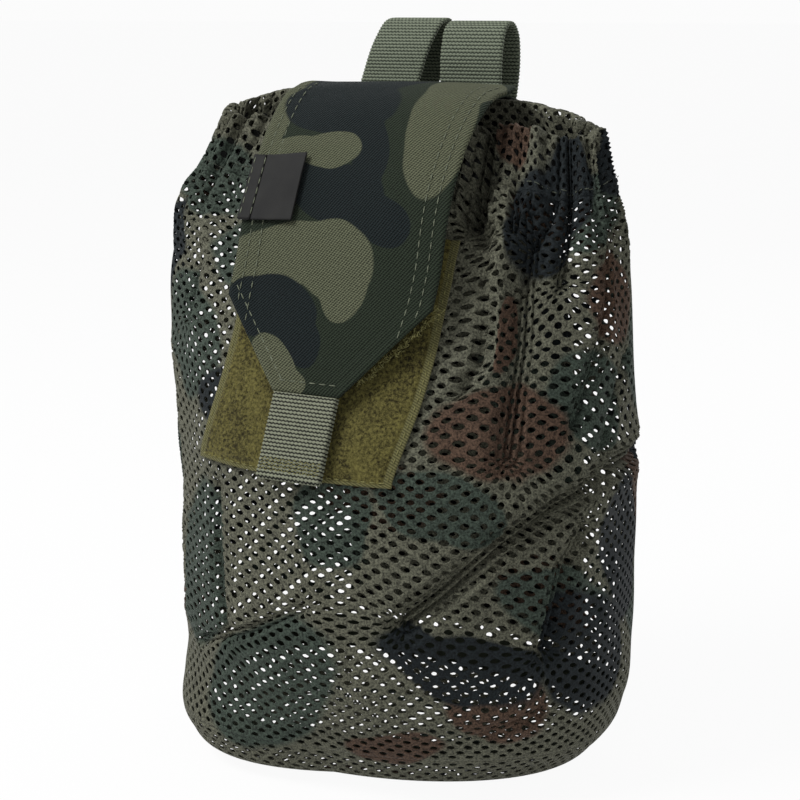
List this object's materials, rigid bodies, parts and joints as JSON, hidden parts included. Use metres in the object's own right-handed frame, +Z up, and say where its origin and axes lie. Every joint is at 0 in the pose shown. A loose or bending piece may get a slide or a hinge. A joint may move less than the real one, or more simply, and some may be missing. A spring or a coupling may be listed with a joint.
{
  "type": "mesh stuff pouch",
  "caption": "Camouflage mesh stuff pouch with a gathered elastic mouth, a hook-and-loop cloth flap with a webbing pull tab, a bare side label and webbing belt loops.",
  "frame": {"origin": "on the ground under the middle of the pouch's box", "axes": "+Z up, -Y towards the flap's side, +X to the right seen from the flap's side"},
  "size_m": [0.1853, 0.1436, 0.2766],
  "materials": {
    "printed_net": "printed polyester tricot net with oval holes",
    "printed_base_net": "printed polyester tricot net",
    "binding_tape": "woven binding tape",
    "hem_net": "folded and gathered net",
    "elastic": "covered elastic band",
    "back_cloth": "coated woven nylon",
    "loop_pile": "brushed loop pile",
    "band_cloth": "coated woven nylon",
    "flap_cloth": "printed twill",
    "flap_lining": "coated woven nylon",
    "hook_tape": "hook tape",
    "label_weave": "dense woven label",
    "tab_webbing": "ribbed polyamide webbing",
    "belt_loop_webbing": "ribbed polyamide webbing"
  },
  "bodies": {
    "pouch": {"mesh_body": "printed_net", "mesh_base": "printed_base_net", "base_seam_tape": "binding_tape", "mouth_hem": "hem_net", "mouth_elastic": "elastic", "back_panel": "back_cloth", "loop_panel": "loop_pile", "loop_anchor_band": "band_cloth"},
    "flap": {"flap_outer": "flap_cloth", "flap_lining": "flap_lining", "flap_hook_patch": "hook_tape", "label_sewn_end": "label_weave"},
    "tab": {"pull_tab": "tab_webbing"},
    "label": {"side_label": "label_weave"},
    "left_loop": {"left_belt_loop": "belt_loop_webbing"},
    "right_loop": {"right_belt_loop": "belt_loop_webbing"}
  },
  "joints": [
    {"name": "flap_lift", "type": "hinge", "parent": "pouch", "child": "flap", "pos_m": [0, 0.022, 0.2485], "axis": [-1, 0, 0], "range_deg": [0, 110]},
    {"name": "tab_lift", "type": "hinge", "parent": "flap", "child": "tab", "pos_m": [0, -0.05785, 0.14902], "axis": [-1, 0, 0], "range_deg": [0, 100]},
    {"name": "label_flip", "type": "hinge", "parent": "flap", "child": "label", "pos_m": [-0.03875, -0.01928, 0.21769], "axis": [0, -0.5823, -0.813], "range_deg": [0, 120]},
    {"name": "left_loop_sway", "type": "hinge", "parent": "pouch", "child": "left_loop", "pos_m": [-0.018, 0.03402, 0.22687], "axis": [-1, 0, 0], "range_deg": [0, 45], "stiffness_Nm_per_rad": 0.03, "springref_deg": -4.58},
    {"name": "right_loop_sway", "type": "hinge", "parent": "pouch", "child": "right_loop", "pos_m": [0.018, 0.03402, 0.22687], "axis": [-1, 0, 0], "range_deg": [0, 60], "stiffness_Nm_per_rad": 0.03, "springref_deg": -4.58}
  ]
}
